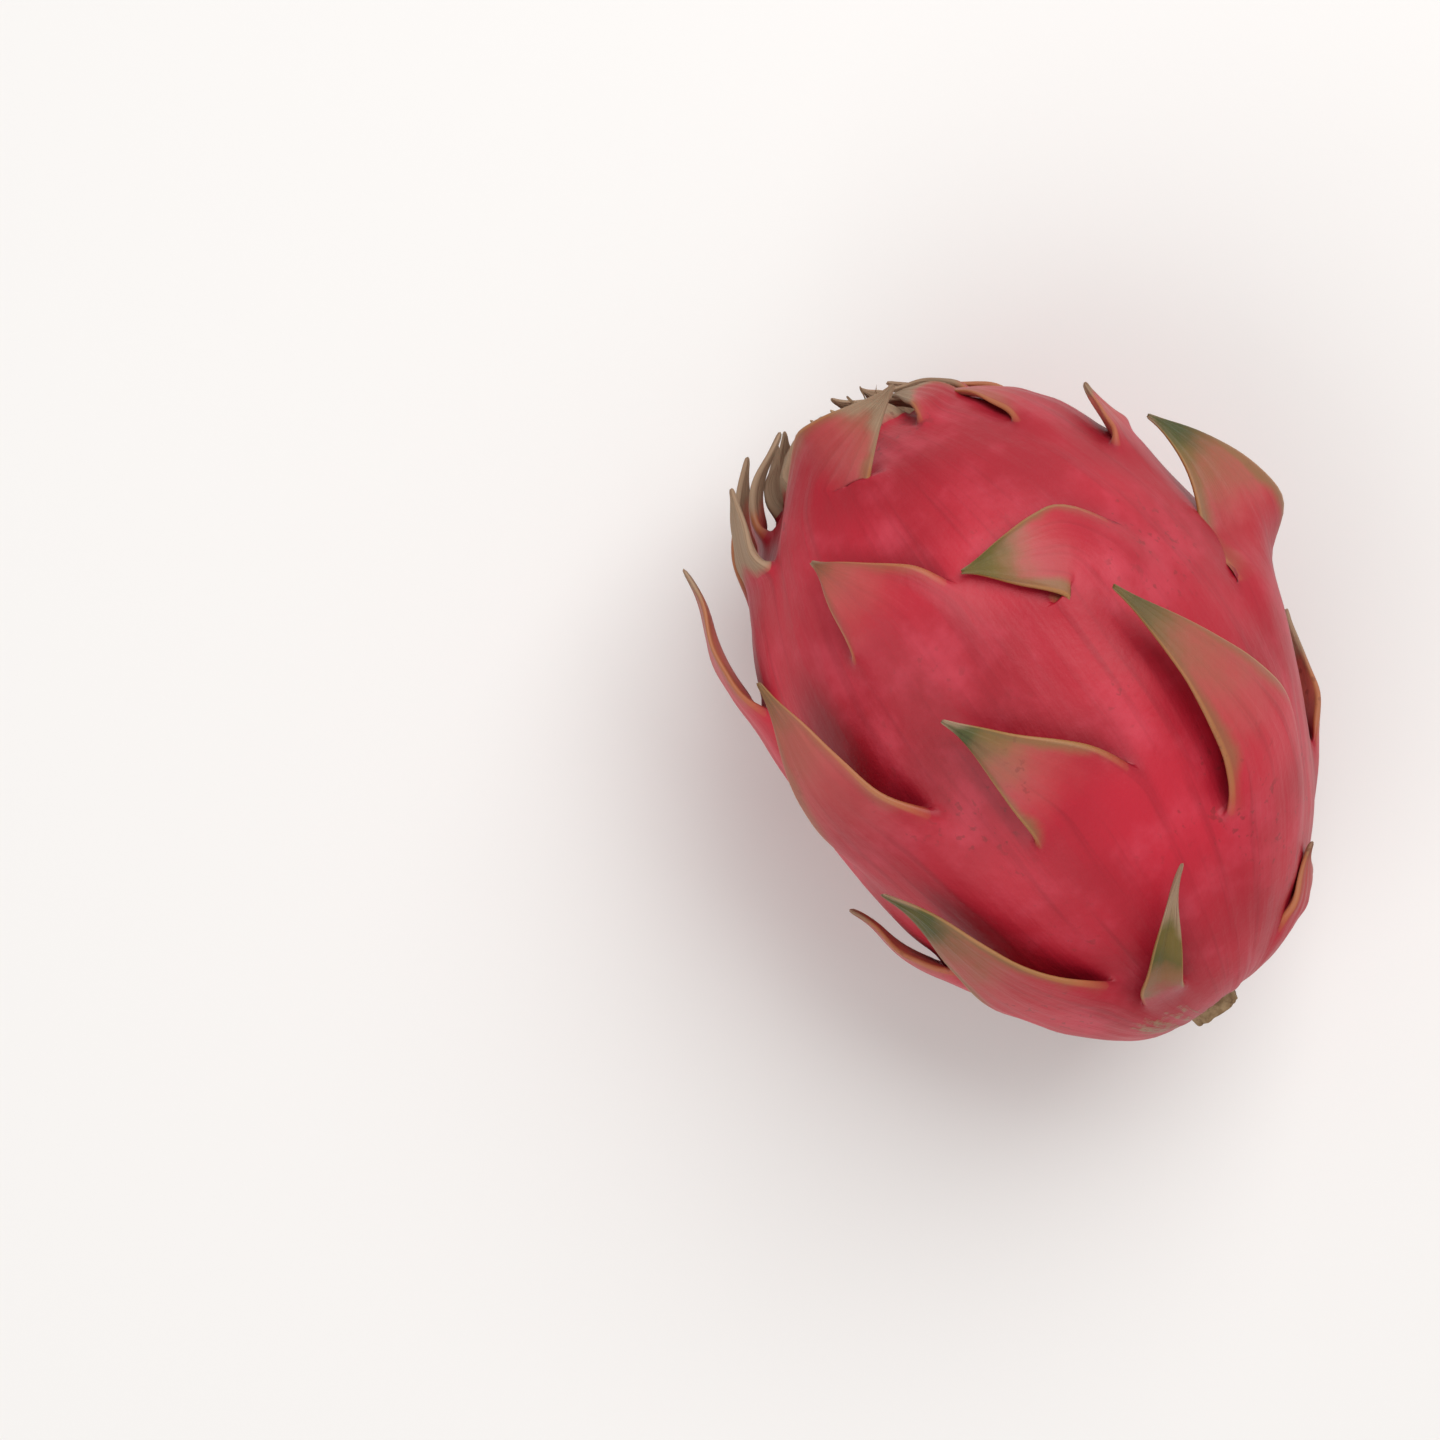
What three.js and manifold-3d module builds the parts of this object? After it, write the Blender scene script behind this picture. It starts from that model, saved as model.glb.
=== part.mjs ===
// A whole dragon fruit (pitaya) lying on its side.
// The rind of an oval fruit grows out into leaf-like scales, so rind, scales and stem scar are one solid.
// Millimetres, +Z up. +X runs along the fruit from its stem end to its blossom end.
// The origin is on the resting plane, under the middle of the fruit's bounding box.
import * as THREE from "three";
import { mergeVertices } from "three/addons/utils/BufferGeometryUtils.js";
import Module from "manifold-3d";

const wasm = await Module();
wasm.setup();

// Driving dimensions of the bare fruit, without its scales.
const BODY_LENGTH = 111;
const BODY_WIDTH = 82;
const BODY_HEIGHT = 81;
const BLOSSOM_SWELL = 0.07; // how much fuller the blossom half is than the stem half
const END_BLUNTNESS = 0.96; // under 1 the ends are blunter than an ellipse's
const STEM_BEND = 5.5; // how far the stem end is bent towards +Y
const REST_PRESS = 1.5; // depth that the underside is pressed flat where it rests
const NAVEL = { radius: 9, depth: 4 }; // dip at the blossom end
const STEM_DIP = { radius: 8, depth: 2.5 }; // dip around the stem scar
const STEM_SCAR = { radius: 4.5, height: 3, rootShare: 0.8 }; // corky stub in that dip, narrower at its root

// Scales: thickness at the root and at the tip, and how far the root reaches into the fruit.
const ROOT_THICKNESS = 4.6;
const TIP_THICKNESS = 1.1;
const TIP_SHARE = 0.06; // width at the tip as a share of the full width
const THINNING_POWER = 0.6; // under 1 a scale thins faster near its root
const OUTLINE_TAPER = 1.15; // over 1 the sides of a scale are hollow towards its tip
const OUTLINE_SHOULDER = 0.4; // how much fuller it is around its middle
const LEAN_START = -0.15; // shares of its length between which a scale turns onto its lean
const LEAN_END = 0.3;
const ROLL_END = 0.35; // share of its length by which a scale has rolled all the way
const RIM_THINNING = 0.55; // share of its thickness that a scale loses at its side edges
const ROOT_REACH = 5;
const FLOOR_CLEARANCE = 2.4; // least height of a scale's middle line above the plane that the fruit rests on

// Facets.
const BODY_RINGS = 26;
const BODY_SIDES = 44;
const SCALE_STEPS = 7;
const SCALE_COLUMNS = 4;
const SCAR_SIDES = 14;

// Each scale, in degrees and millimetres.
// polar: where its root is, measured from the blossom end; around: from the top towards +Y.
// rise: how steeply it leaves the rind; flare: how steeply its tip stands, below 0 when it bends back.
// lean: how far it turns sideways from the line to the blossom end, towards +around.
// roll: how far it turns about its own length.
// cup: how closely its sides follow the rind's curve, 1 for the same curve, 0 for a flat scale.
const SCALES = [
  // Ring at the stem end: short and close.
  { polar: 145, around: 24, length: 29, width: 9, rise: 14, flare: 0, lean: -32, roll: 0, cup: 0.4 },
  { polar: 154, around: -66, length: 14, width: 15, rise: 9, flare: -14, lean: 8, roll: 0, cup: 1.0 },
  { polar: 151, around: 134, length: 20, width: 17, rise: 22, flare: -8, lean: 0, roll: 0, cup: 1.0 },
  { polar: 150, around: -150, length: 19, width: 16, rise: 20, flare: -12, lean: -6, roll: 0, cup: 1.0 },
  // Lower tier: the longest scales, lying along the rind.
  { polar: 122, around: -38, length: 47, width: 24, rise: 20, flare: -8, lean: 22, roll: 0, cup: 0.9 },
  { polar: 138, around: 55, length: 40, width: 23, rise: 17, flare: -4, lean: -2, roll: 0, cup: 0.8 },
  { polar: 128, around: 154, length: 30, width: 24, rise: 22, flare: -10, lean: -10, roll: 0, cup: 1.0 },
  { polar: 124, around: -106, length: 25, width: 21, rise: 20, flare: -6, lean: -4, roll: 0, cup: 1.0 },
  // Middle tier.
  { polar: 104, around: 8, length: 27, width: 20, rise: 18, flare: -8, lean: 26, roll: 0, cup: 0.9 },
  { polar: 116, around: 90, length: 20, width: 21, rise: 24, flare: -14, lean: -4, roll: 0, cup: 0.8 },
  { polar: 90, around: 54, length: 34, width: 25, rise: 26, flare: -4, lean: -6, roll: 0, cup: 0.9 },
  { polar: 90, around: -76, length: 34, width: 27, rise: 29, flare: -12, lean: 2, roll: -44, cup: 0.2 },
  { polar: 100, around: -140, length: 27, width: 22, rise: 18, flare: -12, lean: 10, roll: 0, cup: 1.0 },
  { polar: 94, around: 139, length: 29, width: 22, rise: 18, flare: -12, lean: 6, roll: 0, cup: 1.0 },
  // Upper tier.
  { polar: 71, around: -23, length: 21, width: 20, rise: 12, flare: -6, lean: 62, roll: 0, cup: 0.9 },
  { polar: 60, around: -74, length: 12, width: 17, rise: 22, flare: 30, lean: -2, roll: 0, cup: 0.2 },
  { polar: 62, around: 20, length: 19, width: 20, rise: 22, flare: 0, lean: 20, roll: 0, cup: 0.7 },
  { polar: 64, around: 88, length: 28, width: 22, rise: 28, flare: 8, lean: 0, roll: 0, cup: 0.5 },
  { polar: 60, around: 156, length: 26, width: 21, rise: 26, flare: -2, lean: -8, roll: 0, cup: 0.9 },
  { polar: 60, around: -154, length: 25, width: 20, rise: 28, flare: 0, lean: 6, roll: 0, cup: 0.8 },
  // Crown around the navel.
  { polar: 44, around: -66, length: 18, width: 20, rise: 14, flare: -10, lean: 4, roll: 0, cup: 0.8 },
  { polar: 30, around: 26, length: 24, width: 21, rise: 34, flare: 4, lean: -100, roll: 50, cup: 0.3 },
  { polar: 38, around: 70, length: 16, width: 15, rise: 36, flare: 30, lean: -6, roll: 0, cup: 0.2 },
  { polar: 39, around: 122, length: 23, width: 19, rise: 36, flare: 22, lean: 8, roll: 0, cup: 0.4 },
  { polar: 40, around: 176, length: 22, width: 19, rise: 34, flare: 16, lean: 0, roll: 0, cup: 0.5 },
  { polar: 39, around: -120, length: 21, width: 19, rise: 24, flare: 2, lean: 0, roll: 0, cup: 0.5 },
  // Smaller scales between the crown and the navel.
  { polar: 27, around: 92, length: 17, width: 13, rise: 42, flare: 20, lean: -4, roll: 0, cup: 0.3 },
  { polar: 27, around: 146, length: 16, width: 13, rise: 44, flare: 24, lean: 6, roll: 0, cup: 0.3 },
  { polar: 27, around: -154, length: 17, width: 14, rise: 42, flare: 18, lean: -6, roll: 0, cup: 0.3 },
  { polar: 28, around: -96, length: 13, width: 13, rise: 28, flare: 4, lean: 4, roll: 0, cup: 0.4 },
  { polar: 27, around: -46, length: 12, width: 13, rise: 28, flare: 0, lean: -8, roll: 0, cup: 0.4 },
  // Withered inner scales at the rim of the navel.
  { polar: 19, around: -26, length: 11, width: 9, rise: 50, flare: 20, lean: 14, roll: 0, cup: 0.2 },
  { polar: 19, around: 66, length: 12, width: 9, rise: 52, flare: 40, lean: -16, roll: 0, cup: 0.2 },
  { polar: 20, around: 108, length: 11, width: 8, rise: 56, flare: 36, lean: 10, roll: 0, cup: 0.2 },
  { polar: 19, around: 160, length: 10, width: 8, rise: 50, flare: 24, lean: -8, roll: 0, cup: 0.2 },
  { polar: 20, around: -140, length: 11, width: 9, rise: 52, flare: 30, lean: 12, roll: 0, cup: 0.2 },
  { polar: 19, around: -82, length: 10, width: 8, rise: 42, flare: 12, lean: -10, roll: 0, cup: 0.2 },
];

const toRadians = THREE.MathUtils.degToRad;

// Height of the resting plane, measured from the fruit's axis.
const REST_HEIGHT = REST_PRESS - BODY_HEIGHT / 2;

// How far the fruit is bent sideways at a polar angle from the blossom end.
function sidewaysBend(polar) {
  return STEM_BEND * Math.max(-Math.cos(polar), 0) ** 2;
}

// The rind's surface at a polar angle from the blossom end and an angle around from the top, both in radians.
function rind(polar, around) {
  const share = Math.abs(Math.sin(polar)) ** END_BLUNTNESS * (1 + BLOSSOM_SWELL * Math.cos(polar));
  const acrossRadius = (share * BODY_WIDTH) / 2;
  const end = Math.cos(polar) > 0 ? NAVEL : STEM_DIP;
  const dip = end.depth * Math.exp(-((acrossRadius / end.radius) ** 2));
  return new THREE.Vector3(
    (BODY_LENGTH / 2) * Math.cos(polar) - Math.sign(Math.cos(polar)) * dip,
    acrossRadius * Math.sin(around) + sidewaysBend(polar),
    ((share * BODY_HEIGHT) / 2) * Math.cos(around),
  );
}

// Outward normal, direction to the blossom end and direction around, at a place on the rind.
function rindFrame(polar, around) {
  const step = 1e-3;
  const forward = rind(polar - step, around).sub(rind(polar + step, around));
  const sideways = rind(polar, around + step).sub(rind(polar, around - step));
  const millimetresPerRadian = {
    forward: forward.length() / (2 * step),
    sideways: sideways.length() / (2 * step),
  };
  forward.normalize();
  sideways.normalize();
  const normal = new THREE.Vector3().crossVectors(forward, sideways).normalize();
  return { normal, forward, sideways, millimetresPerRadian };
}

// The middle line of a scale: it starts on the rind, and its height above the rind follows its slope.
function middleLine(scale) {
  const places = [];
  const stride = scale.length / SCALE_STEPS;
  let polar = toRadians(scale.polar);
  let around = toRadians(scale.around);
  let height = 0;
  for (let i = 0; i <= SCALE_STEPS; i++) {
    const t = i / SCALE_STEPS;
    const { normal, forward, sideways, millimetresPerRadian } = rindFrame(polar, around);
    const slope = toRadians(THREE.MathUtils.lerp(scale.rise, scale.flare, t));
    const lean = toRadians(scale.lean) * THREE.MathUtils.smoothstep(t, LEAN_START, LEAN_END);
    const along = forward.multiplyScalar(Math.cos(lean)).addScaledVector(sideways, Math.sin(lean));
    const point = rind(polar, around).addScaledVector(normal, height);
    point.z = Math.max(point.z, REST_HEIGHT + FLOOR_CLEARANCE);
    places.push({
      t,
      point,
      across: new THREE.Vector3().crossVectors(along, normal).normalize(),
      direction: along.clone().multiplyScalar(Math.cos(slope)).addScaledVector(normal, Math.sin(slope)),
    });
    polar -= (stride * Math.cos(slope) * Math.cos(lean)) / (millimetresPerRadian.forward + height);
    around += (stride * Math.cos(slope) * Math.sin(lean)) / (millimetresPerRadian.sideways + height);
    height += stride * Math.sin(slope);
  }
  const root = places[0];
  const buried = root.point.clone().addScaledVector(root.direction, -ROOT_REACH);
  return [{ ...root, t: 0, point: buried, buried: true }, ...places];
}

// A scale's half width as a share of its full half width: broad at the root, drawn out to a point.
function outline(t) {
  return Math.max((1 - t) ** OUTLINE_TAPER * (1 + OUTLINE_SHOULDER * t), TIP_SHARE);
}

// One scale: a box with a row of cells for each step of its middle line, bent onto that line.
function scaleGeometry(scale) {
  const line = middleLine(scale);
  const rows = line.length - 1;
  const geometry = new THREE.BoxGeometry(rows, 2, 2, rows, SCALE_COLUMNS, 1);
  const position = geometry.getAttribute("position");
  const rindRadius = (BODY_WIDTH / 2) * Math.sin(toRadians(scale.polar));
  for (let i = 0; i < position.count; i++) {
    const place = line[Math.round(position.getX(i) + rows / 2)];
    const side = position.getY(i);
    const face = position.getZ(i);
    const sideways = (side * scale.width * outline(place.t)) / 2;
    const fullThickness = THREE.MathUtils.lerp(ROOT_THICKNESS, TIP_THICKNESS, place.t ** THINNING_POWER);
    const thickness = place.buried ? TIP_THICKNESS : fullThickness * (1 - RIM_THINNING * side ** 2);
    const sag = (scale.cup * sideways ** 2) / (2 * rindRadius);
    const roll = toRadians(scale.roll) * THREE.MathUtils.smoothstep(place.t, 0, ROLL_END);
    const across = place.across.clone().applyAxisAngle(place.direction, roll);
    const outwards = new THREE.Vector3().crossVectors(across, place.direction).normalize();
    const vertex = place.point
      .clone()
      .addScaledVector(across, -sideways)
      .addScaledVector(outwards, (face * thickness) / 2 - sag);
    position.setXYZ(i, vertex.x, vertex.y, vertex.z);
  }
  return geometry;
}

function bodyGeometry() {
  const profile = [];
  for (let ring = 0; ring <= BODY_RINGS; ring++) {
    const polar = Math.PI * (1 - ring / BODY_RINGS);
    const onAxis = ring === 0 || ring === BODY_RINGS;
    const edge = rind(polar, Math.PI / 2);
    profile.push(new THREE.Vector2(onAxis ? 0 : edge.y - sidewaysBend(polar), edge.x));
  }
  const lathe = new THREE.LatheGeometry(profile, BODY_SIDES);
  lathe.scale(1, 1, BODY_HEIGHT / BODY_WIDTH);
  lathe.rotateZ(-Math.PI / 2);
  const position = lathe.getAttribute("position");
  for (let i = 0; i < position.count; i++) {
    const ring = i % (BODY_RINGS + 1);
    position.setY(i, position.getY(i) + sidewaysBend(Math.PI * (1 - ring / BODY_RINGS)));
  }
  return lathe;
}

function stemScarGeometry() {
  const { radius, height, rootShare } = STEM_SCAR;
  const base = rind(Math.PI, 0);
  const scar = new THREE.CylinderGeometry(radius, radius * rootShare, height + ROOT_REACH, SCAR_SIDES);
  scar.rotateZ(-Math.PI / 2);
  scar.translate(base.x + (ROOT_REACH - height) / 2, base.y, 0);
  return scar;
}

// Everything below the plane that the fruit rests on.
function groundGeometry() {
  const size = 3 * BODY_LENGTH;
  const ground = new THREE.BoxGeometry(size, size, size);
  ground.translate(0, 0, REST_HEIGHT - size / 2);
  return ground;
}

function asSolid(geometry) {
  const bare = geometry.index ? geometry.toNonIndexed() : geometry.clone();
  bare.deleteAttribute("normal");
  bare.deleteAttribute("uv");
  const merged = mergeVertices(bare, 1e-4);
  const index = merged.index.array;
  const triangles = [];
  for (let i = 0; i < index.length; i += 3) {
    const [a, b, c] = [index[i], index[i + 1], index[i + 2]];
    if (a !== b && b !== c && c !== a) triangles.push(a, b, c);
  }
  return new wasm.Manifold(
    new wasm.Mesh({
      numProp: 3,
      vertProperties: merged.getAttribute("position").array,
      triVerts: new Uint32Array(triangles),
    }),
  );
}

function asGeometry(solid) {
  const { numProp, vertProperties, triVerts } = solid.getMesh();
  const vertices = new Float32Array((vertProperties.length / numProp) * 3);
  for (let i = 0; i < vertices.length / 3; i++) {
    vertices.set(vertProperties.subarray(i * numProp, i * numProp + 3), i * 3);
  }
  const geometry = new THREE.BufferGeometry();
  geometry.setAttribute("position", new THREE.BufferAttribute(vertices, 3));
  geometry.setIndex(new THREE.BufferAttribute(triVerts, 1));
  geometry.computeVertexNormals();
  return geometry;
}

function fruitGeometry() {
  let fruit = asSolid(bodyGeometry()).add(asSolid(stemScarGeometry()));
  for (const scale of SCALES) fruit = fruit.add(asSolid(scaleGeometry(scale)));
  const geometry = asGeometry(fruit.subtract(asSolid(groundGeometry())));
  geometry.computeBoundingBox();
  const { min, max } = geometry.boundingBox;
  geometry.translate(-(min.x + max.x) / 2, -(min.y + max.y) / 2, -min.z);
  return geometry;
}

const group = new THREE.Group();
const rindMaterial = new THREE.MeshStandardMaterial({ color: 0xb8324c, roughness: 0.5, metalness: 0 });
const fruit = new THREE.Mesh(fruitGeometry(), rindMaterial);
fruit.name = "dragon_fruit";
group.add(fruit);

export default group;
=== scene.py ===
import math
import random
from collections import namedtuple
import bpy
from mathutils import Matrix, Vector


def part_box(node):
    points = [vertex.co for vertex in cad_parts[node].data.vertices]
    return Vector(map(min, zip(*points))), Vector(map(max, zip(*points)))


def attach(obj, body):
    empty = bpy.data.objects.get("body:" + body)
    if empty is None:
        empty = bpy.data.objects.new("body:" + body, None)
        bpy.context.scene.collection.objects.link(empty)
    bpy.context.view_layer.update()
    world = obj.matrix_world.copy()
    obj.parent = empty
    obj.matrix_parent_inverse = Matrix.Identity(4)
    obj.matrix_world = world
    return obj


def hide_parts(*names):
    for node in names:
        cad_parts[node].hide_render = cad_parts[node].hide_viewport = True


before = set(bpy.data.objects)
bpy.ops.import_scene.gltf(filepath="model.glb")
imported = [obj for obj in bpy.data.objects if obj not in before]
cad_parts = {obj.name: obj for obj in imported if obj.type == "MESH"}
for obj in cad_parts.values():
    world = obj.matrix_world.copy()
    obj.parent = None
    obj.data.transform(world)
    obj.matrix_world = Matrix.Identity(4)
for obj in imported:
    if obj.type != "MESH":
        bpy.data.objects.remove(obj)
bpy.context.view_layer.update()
from types import SimpleNamespace
import bmesh
import bpy
from mathutils import Vector, noise


# --- Rind and scales -------------------------------------------------------
# The whole fruit is one growth: a leathery crimson rind that runs out into fleshy,
# leaf-like scales with olive-green edges. It starts as a sphere of rings and sides;
# the scales' roots are strips of its faces, drawn out step by step.
MM = 0.001

# The bare rind: a little fuller towards the blossom end, bent sideways towards the stem, with a
# dip at both ends, and pressed flat where it rests.
BODY_LENGTH, BODY_WIDTH, BODY_HEIGHT = 111 * MM, 82 * MM, 81 * MM
BLOSSOM_SWELL = 0.07
STEM_BEND = 5.5 * MM
END_BLUNTNESS = 0.96
REST_PRESS = 1.5 * MM
NAVEL_RADIUS, NAVEL_DEPTH = 9 * MM, 4 * MM
STEM_RADIUS, STEM_DEPTH = 8 * MM, 2.5 * MM

# The rind's faces from end to end and around it, and the rows of faces along a scale.
RINGS, SIDES = 56, 120
STEPS = 13

# The scales reach further to one side and one end than to the other, so the bare rind's
# middle lies off the middle of the box that holds them all.
OFF_MIDDLE_X, OFF_MIDDLE_Y = -4.16 * MM, 4.13 * MM
low, high = (Vector(corner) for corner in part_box("dragon_fruit"))
BODY_CENTRE = Vector(((low.x + high.x) / 2 + OFF_MIDDLE_X, (low.y + high.y) / 2 + OFF_MIDDLE_Y,
                      low.z + BODY_HEIGHT / 2 - REST_PRESS))

# Each scale: its root's angle from the blossom end and around from the top, its length and
# width in mm, how steeply it leaves the rind, how steeply its tip stands, how far it leans
# round the fruit, how far it rolls about its own length, how much its sides hug the rind,
# how far it folds into a channel, how green and how dry it is.
Scale = namedtuple("Scale", "polar around length width rise flare lean roll hug fold green dry")
SCALES = [Scale(*row) for row in (
    (145, 24, 29, 9, 14, 0, -32, 0, 0.4, 0.9, 2.6, 0.4),
    (154, -66, 14, 15, 9, -14, 8, 0, 1.0, 0.1, 0.5, 0.1),
    (151, 134, 20, 17, 22, -8, 0, 0, 1.0, 0.1, 0.5, 0.1),
    (150, -150, 19, 16, 20, -12, -6, 0, 1.0, 0.1, 0.5, 0.1),
    (122, -38, 47, 24, 20, -8, 22, 0, 0.9, 0.1, 0.9, 0.0),
    (138, 55, 40, 23, 17, -4, -2, 0, 0.8, 0.15, 1.3, 0.1),
    (128, 154, 30, 24, 22, -10, -10, 0, 1.0, 0.1, 0.6, 0.0),
    (124, -106, 25, 21, 20, -6, -4, 0, 1.0, 0.1, 0.6, 0.35),
    (104, 8, 27, 20, 18, -8, 26, 0, 0.9, 0.1, 1.2, 0.1),
    (116, 90, 20, 21, 24, -14, -4, 0, 0.8, 0.15, 0.4, 0.1),
    (90, 54, 34, 25, 26, -4, -6, 0, 0.9, 0.1, 0.7, 0.0),
    (90, -76, 34, 27, 29, -12, 2, -44, 0.2, 0.0, 1.2, 0.1),
    (100, -140, 27, 22, 18, -12, 10, 0, 1.0, 0.1, 0.6, 0.0),
    (94, 139, 29, 22, 18, -12, 6, 0, 1.0, 0.1, 0.6, 0.0),
    (71, -23, 21, 20, 12, -6, 62, 0, 0.9, 0.1, 1.4, 0.1),
    (60, -74, 12, 17, 22, 30, -2, 0, 0.2, 0.3, 0.1, 0.2),
    (62, 20, 19, 20, 22, 0, 20, 0, 0.7, 0.1, 0.6, 0.1),
    (64, 88, 28, 22, 28, 8, 0, 0, 0.5, 0.2, 0.6, 0.2),
    (60, 156, 26, 21, 26, -2, -8, 0, 0.9, 0.1, 0.6, 0.1),
    (60, -154, 25, 20, 28, 0, 6, 0, 0.8, 0.1, 0.6, 0.1),
    (44, -66, 18, 20, 14, -10, 4, 0, 0.8, 0.1, 0.4, 0.2),
    (30, 26, 24, 21, 34, 4, -100, 50, 0.3, 0.1, 0.9, 0.4),
    (38, 70, 16, 15, 36, 30, -6, 0, 0.2, 0.3, 0.6, 0.9),
    (39, 122, 23, 19, 36, 22, 8, 0, 0.4, 0.2, 0.6, 0.4),
    (40, 176, 22, 19, 34, 16, 0, 0, 0.5, 0.2, 0.6, 0.3),
    (39, -120, 21, 19, 24, 2, 0, 0, 0.5, 0.2, 0.6, 0.4),
    (27, 92, 17, 13, 42, 20, -4, 0, 0.3, 0.3, 0.5, 0.7),
    (27, 146, 16, 13, 44, 24, 6, 0, 0.3, 0.3, 0.5, 0.8),
    (27, -154, 17, 14, 42, 18, -6, 0, 0.3, 0.3, 0.5, 0.6),
    (28, -96, 13, 13, 28, 4, 4, 0, 0.4, 0.3, 0.5, 0.8),
    (27, -46, 12, 13, 28, 0, -8, 0, 0.4, 0.3, 0.6, 0.6),
    (19, -26, 11, 9, 50, 20, 14, 0, 0.2, 0.6, 0.3, 1.0),
    (19, 66, 12, 9, 52, 40, -16, 0, 0.2, 0.6, 0.3, 1.0),
    (20, 108, 11, 8, 56, 36, 10, 0, 0.2, 0.6, 0.3, 1.0),
    (19, 160, 10, 8, 50, 24, -8, 0, 0.2, 0.6, 0.3, 1.0),
    (20, -140, 11, 9, 52, 30, 12, 0, 0.2, 0.6, 0.3, 1.0),
    (19, -82, 10, 8, 42, 12, -10, 0, 0.2, 0.6, 0.3, 1.0),
)]


def smooth(start, end, value):
    """0 on start's side, 1 on end's side, smooth between."""
    t = min(max((value - start) / (end - start), 0.0), 1.0)
    return t * t * (3 - 2 * t)


def rind_point(polar, around):
    """A point of the bare rind: polar from the blossom end, around from the top, in radians."""
    share = abs(math.sin(polar)) ** END_BLUNTNESS * (1 + BLOSSOM_SWELL * math.cos(polar))
    across = share * BODY_WIDTH / 2
    facing = 1 if math.cos(polar) > 0 else -1
    radius, depth = (NAVEL_RADIUS, NAVEL_DEPTH) if facing > 0 else (STEM_RADIUS, STEM_DEPTH)
    dip = depth * math.exp(-((across / radius) ** 2))
    bend = STEM_BEND * max(-math.cos(polar), 0) ** 2
    return BODY_CENTRE + Vector((BODY_LENGTH / 2 * math.cos(polar) - facing * dip,
                                 across * math.sin(around) + bend,
                                 share * BODY_HEIGHT / 2 * math.cos(around)))


def rind_frame(polar, around):
    """The rind's outward normal, its directions towards the blossom end and around the fruit,
    and how far it runs in each of them per radian."""
    nudge = 1e-3
    ahead = rind_point(polar - nudge, around) - rind_point(polar + nudge, around)
    aside = rind_point(polar, around + nudge) - rind_point(polar, around - nudge)
    per_radian = ahead.length / (2 * nudge), aside.length / (2 * nudge)
    ahead.normalize()
    aside.normalize()
    return ahead.cross(aside).normalized(), ahead, aside, per_radian


def face_width(polar):
    """How wide one face of the rind is, polar radians from the blossom end."""
    return math.sin(polar) * BODY_WIDTH / 2 * math.tau / SIDES


# A scale's blade. Places along it are shares of its length, places across it shares of its
# half width.
MIN_COLUMNS = 4
LEAN_START, LEAN_END = -0.15, 0.3
OUTLINE_TAPER, OUTLINE_SHOULDER, TIP_SHARE = 1.15, 0.4, 0.03
ROOT_THICKNESS, TIP_THICKNESS, THINNING_POWER = 3.8 * MM, 0.9 * MM, 0.55
RIM_THINNING = 0.62
RAGGEDNESS, RAGS_ALONG, RAGS_ACROSS = 0.05, 5, 0.7
BENT_BY = 0.35
FOLD_SLOPE = 0.8
RIPPLE_HEIGHT, RIPPLE_START, RIPPLE_END, RIPPLE_LAG = 0.9 * MM, 0.1, 0.6, 1.7
KEEL_HEIGHT, KEEL_WIDTH = 0.5 * MM, 0.16
CURL_START = 0.72


def outline(t):
    """Half width of a scale along its length: broad shoulders, drawn out to a point."""
    return max((1 - t) ** OUTLINE_TAPER * (1 + OUTLINE_SHOULDER * t), TIP_SHARE)


def thickness(t, side):
    """A scale is thick at its root and its middle, thin at its tip and its rim."""
    middle = ROOT_THICKNESS - (ROOT_THICKNESS - TIP_THICKNESS) * t ** THINNING_POWER
    return middle * (1 - RIM_THINNING * side * side)


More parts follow.
